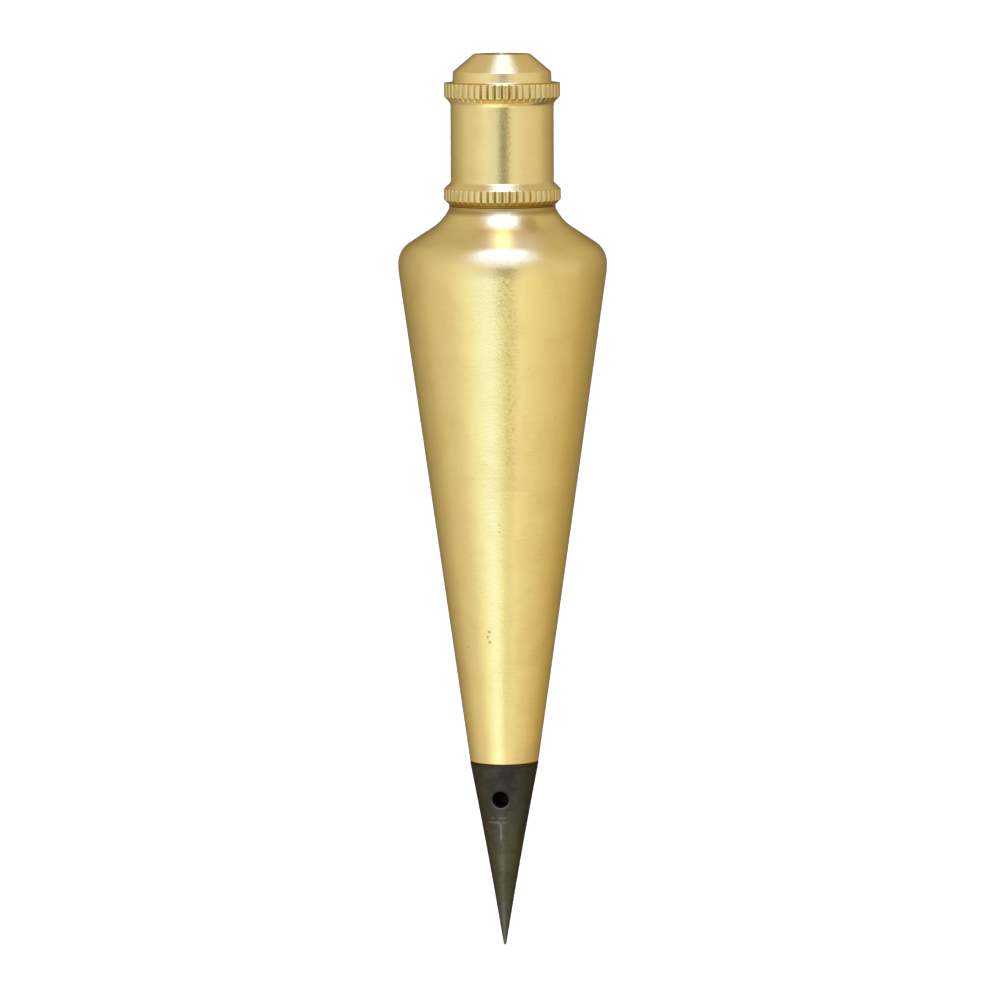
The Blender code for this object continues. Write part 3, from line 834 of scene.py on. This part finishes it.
for build, body, node, slot, material in (
    (make_cap, "screw_cap", "cap", "cap_brass", bright_brass),
    (make_knot_cup, "cord_knot_cup", "knot_cup", "cup_brass", plain_brass),
    (make_body, "bob_body", "body", "body_brass", satin_brass),
    (make_ring, "point_ring", "shank_ring", "ring_rubber", rubber("ring_rubber_black")),
    (make_point, "screw_point", "steel_point", "point_steel", steel("blackened_steel")),
):
    piece = build()
    piece.data.materials.clear()
    piece.data.materials.append(material)
    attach(piece, body)
    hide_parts(node)

# ---------------------------------------------------------------- studio

FLOOR_DROP = 0.10  # below the point's tip
FLOOR_HALF = 14.0  # half of its width
floor_level = cad_box[0][2] - FLOOR_DROP
floor_mesh = bpy.data.meshes.new("studio_floor")
floor_signs = ((-1, -1), (1, -1), (1, 1), (-1, 1))
floor_corners = [(x * FLOOR_HALF, y * FLOOR_HALF, floor_level) for x, y in floor_signs]
floor_mesh.from_pydata(floor_corners, [], [(0, 1, 2, 3)])
floor = bpy.data.objects.new("studio_floor", floor_mesh)
floor.data.materials.append(floor_paint("floor_paint"))
floor.visible_glossy = False
bpy.context.scene.collection.objects.link(floor)

# The soft walls round the bob, as the bob sees them: (degrees right of the camera, light)
WALLS_LEVEL = (
    (-180, (0.22, 0.18, 0.12)),
    (-140, (0.45, 0.44, 0.40)),
    (-110, (0.61, 0.59, 0.49)),
    (-89, (0.80, 0.78, 0.69)),
    (-67, (0.86, 0.86, 0.80)),
    (-47, (0.97, 1.03, 1.06)),
    (-33, (1.02, 1.09, 1.16)),
    (-20, (0.91, 0.92, 0.76)),
    (20, (0.86, 0.87, 0.76)),
    (32, (0.94, 0.98, 0.97)),
    (47, (0.90, 0.90, 0.87)),
    (67, (0.87, 0.84, 0.77)),
    (89, (0.80, 0.77, 0.67)),
    (110, (0.60, 0.55, 0.43)),
    (140, (0.44, 0.42, 0.34)),
    (180, (0.22, 0.18, 0.11)),
)
WALLS_LOW = (
    (-180, (0.22, 0.17, 0.11)),
    (-142, (0.45, 0.41, 0.34)),
    (-112, (0.62, 0.57, 0.47)),
    (-91, (0.83, 0.80, 0.70)),
    (-69, (0.90, 0.89, 0.81)),
    (-50, (1.02, 1.12, 1.07)),
    (-41, (1.01, 1.26, 1.26)),
    (-34, (0.85, 1.37, 1.52)),
    (-21, (0.85, 1.38, 2.75)),
    (-9, (0.97, 1.55, 2.30)),
    (0, (1.21, 1.58, 1.44)),
    (5, (1.26, 1.41, 1.17)),
    (19, (1.26, 1.38, 1.32)),
    (31, (1.10, 1.17, 0.98)),
    (49, (1.00, 1.00, 0.74)),
    (69, (0.90, 0.84, 0.58)),
    (91, (0.75, 0.65, 0.39)),
    (112, (0.56, 0.46, 0.19)),
    (142, (0.36, 0.30, 0.16)),
    (180, (0.22, 0.17, 0.10)),
)
WALLS_FOOT = (
    (-180, (0.38, 0.37, 0.35)),
    (-112, (0.52, 0.51, 0.48)),
    (-69, (0.82, 0.81, 0.75)),
    (-50, (1.26, 1.22, 1.06)),
    (-34, (1.76, 1.69, 1.42)),
    (-17, (2.02, 1.93, 1.64)),
    (0, (1.28, 1.23, 1.06)),
    (17, (0.90, 0.87, 0.77)),
    (69, (0.64, 0.62, 0.54)),
    (97, (0.22, 0.21, 0.18)),
    (130, (0.18, 0.17, 0.14)),
    (180, (0.30, 0.29, 0.25)),
)
WALLS_HIGH = (
    (-180, (0.56, 0.54, 0.48)),
    (-130, (0.69, 0.67, 0.57)),
    (-90, (0.71, 0.69, 0.61)),
    (-60, (0.82, 0.83, 0.84)),
    (0, (0.90, 0.90, 0.90)),
    (50, (0.80, 0.78, 0.66)),
    (90, (0.70, 0.66, 0.52)),
    (130, (0.66, 0.62, 0.49)),
    (180, (0.56, 0.54, 0.48)),
)
# The softbox as the metal shows it, its far end overhead, the tube in it, and as it falls on the floor
SOFTBOX_LIGHT = (1.14, 1.43, 2.70, 1)
OVERHEAD_LIGHT = (1.9, 2.38, 4.4, 1)
TUBE_LIGHT = (6.8, 9.2, 22, 1)
ROOM_LIGHT = (2.8, 2.8, 2.8, 1)
GROUND_LIGHT = (0.78, 0.74, 0.64, 1)
REFLECTOR_LIGHT = (1.5, 1.5, 1.5, 1)
STAND_COLOUR = (0.085, 0.065, 0.0, 1)
STAND_FOOT_COLOUR = (0.07, 0.06, 0.03, 1)


class World(Nodes):
    """Shader nodes of the studio's light, which depends only on direction."""

    def __init__(self, name):
        self.world = bpy.data.worlds.new(name)
        self.world.use_nodes = True
        self.tree = self.world.node_tree
        self.tree.nodes.clear()

    def walls(self, turn, stops):
        """Light round the bob from stops of (degrees, light). turn is 0 at -180 degrees and 1 at 180."""
        node = self.add("ShaderNodeValToRGB")
        self.put(node.inputs[0], turn)
        elements = node.color_ramp.elements
        for _ in stops[2:]:
            elements.new(0.5)
        brightest = max(max(light) for _, light in stops)
        for element, (degrees, light) in zip(elements, stops):
            element.position = degrees / 360 + 0.5
            element.color = (*(value / brightest for value in light), 1)
        scale = self.add("ShaderNodeVectorMath", operation="SCALE")
        self.put(scale.inputs[0], node.outputs[0])
        scale.inputs["Scale"].default_value = brightest
        return scale.outputs[0]

    def window(self, value, low, high, soft):
        """1 between low and high, and 0 outside them, changing smoothly over soft."""
        rise = self.remap(value, low - soft / 2, low + soft / 2, smooth=True)
        fall = self.remap(value, high + soft / 2, high - soft / 2, smooth=True)
        return self.math("MULTIPLY", rise, fall)


def studio_light():
    """The light from each direction. turn is degrees right of the camera, height is degrees above level, and
    over is degrees from the front over the top to the back."""
    world = World("studio_light")
    split = world.add("ShaderNodeSeparateXYZ")
    world.put(split.inputs[0], world.add("ShaderNodeTexCoord").outputs["Generated"])
    x, y, z = split.outputs
    front = world.math("MULTIPLY", y, -1.0)
    degrees = 180 / math.pi
    turn = world.math("MULTIPLY", world.math("ARCTAN2", x, front), degrees)
    height = world.math("MULTIPLY", world.math("ARCSINE", z), degrees)
    over = world.math("MULTIPLY", world.math("ARCTAN2", z, front), degrees)
    share = world.math("ADD", world.math("DIVIDE", turn, 360), 0.5)
    light = world.walls(share, WALLS_LEVEL)
    light = world.mix(world.remap(height, -5, -19, smooth=True), light, world.walls(share, WALLS_LOW))
    light = world.mix(world.remap(height, -24.5, -28.5, smooth=True), light, world.walls(share, WALLS_FOOT))
    light = world.mix(world.remap(height, -42, -62, smooth=True), light, GROUND_LIGHT)
    # a white reflector lies under the bob
    reflector = world.remap(height, -42, -58, smooth=True)
    reflector = world.math("MULTIPLY", world.window(x, -0.42, 0.12, 0.22), reflector)
    light = world.mix(reflector, light, REFLECTOR_LIGHT)
    light = world.mix(world.remap(height, 6, 40, smooth=True), light, world.walls(share, WALLS_HIGH))
    # the camera and its stand, dark and narrow, in front of the low walls
    stand = world.math("MULTIPLY", world.window(turn, -7, 13, 4), world.window(height, -14, 4, 7))
    foot = world.math("MULTIPLY", world.window(turn, 4, 14, 7), world.window(height, -26, -12, 6))
    light = world.mix(world.math("MULTIPLY", stand, 0.9), light, STAND_COLOUR)
    light = world.mix(world.math("MULTIPLY", foot, 0.14), light, STAND_FOOT_COLOUR)
    # the softbox, from in front of the bob to just behind it overhead, widest half way up
    half_width = world.remap(over, 13, 45, 0.30, 0.50, smooth=True)
    half_width = world.math("SUBTRACT", half_width, world.remap(over, 58, 100, 0, 0.29, smooth=True))
    half_width = world.math("SUBTRACT", half_width, world.remap(over, 102, 114, 0, 0.12))
    middle = world.remap(over, 12, 110, -0.02, 0.04)
    sideways = world.math("ABSOLUTE", world.math("SUBTRACT", x, middle))
    inside = world.remap(world.math("SUBTRACT", sideways, half_width), 0.09, -0.06, smooth=True)
    box = world.math("MULTIPLY", inside, world.window(over, 13, 136, 12))
    ray = world.add("ShaderNodeLightPath")
    lamp = world.mix(world.remap(over, 104, 117, smooth=True), SOFTBOX_LIGHT, OVERHEAD_LIGHT)
    # the bright tube in the softbox, which the shoulder shows again by way of the cap's neck
    tube = world.math("MULTIPLY", world.window(over, 63, 78, 8), world.window(x, -0.18, 0.19, 0.14))
    lamp = world.mix(tube, lamp, TUBE_LIGHT)
    lamp = world.mix(ray.outputs["Is Diffuse Ray"], lamp, ROOM_LIGHT)
    light = world.mix(box, light, lamp)
    # behind the bob the camera sees plain white
    seen = world.mix(ray.outputs["Is Camera Ray"], light, (1, 1, 1, 1))
    background = world.add("ShaderNodeBackground")
    world.put(background.inputs["Color"], seen)
    world.put(world.add("ShaderNodeOutputWorld").inputs["Surface"], background.outputs[0])
    return world.world


bpy.context.scene.world = studio_light()

# ---------------------------------------------------------------- camera

CAMERA_DISTANCE = 1.227
CAMERA_HEIGHT = 49.3 * MM  # above the bob's top
CAMERA_LEFT = 0.59 * MM
CAMERA_LENS = 260.9
FRAME_MIDDLE = (cad_box[0][2] + cad_box[1][2]) / 2 + 0.33 * MM  # height that the camera aims at
LEAN = math.radians(0.21)  # roll of the camera
camera = bpy.data.objects.new("camera", bpy.data.cameras.new("camera"))
camera.data.lens = CAMERA_LENS
camera.data.sensor_width = 36
camera.data.clip_end = 40
camera.location = (-CAMERA_LEFT, -CAMERA_DISTANCE, cad_box[1][2] + CAMERA_HEIGHT)
aim = Vector((-CAMERA_LEFT, 0, FRAME_MIDDLE)) - camera.location
camera.rotation_mode = "QUATERNION"
camera.rotation_quaternion = aim.to_track_quat("-Z", "Y") @ Matrix.Rotation(-LEAN, 3, "Z").to_quaternion()
bpy.context.scene.collection.objects.link(camera)
bpy.context.scene.camera = camera

bpy.context.scene.view_settings.view_transform = "Standard"
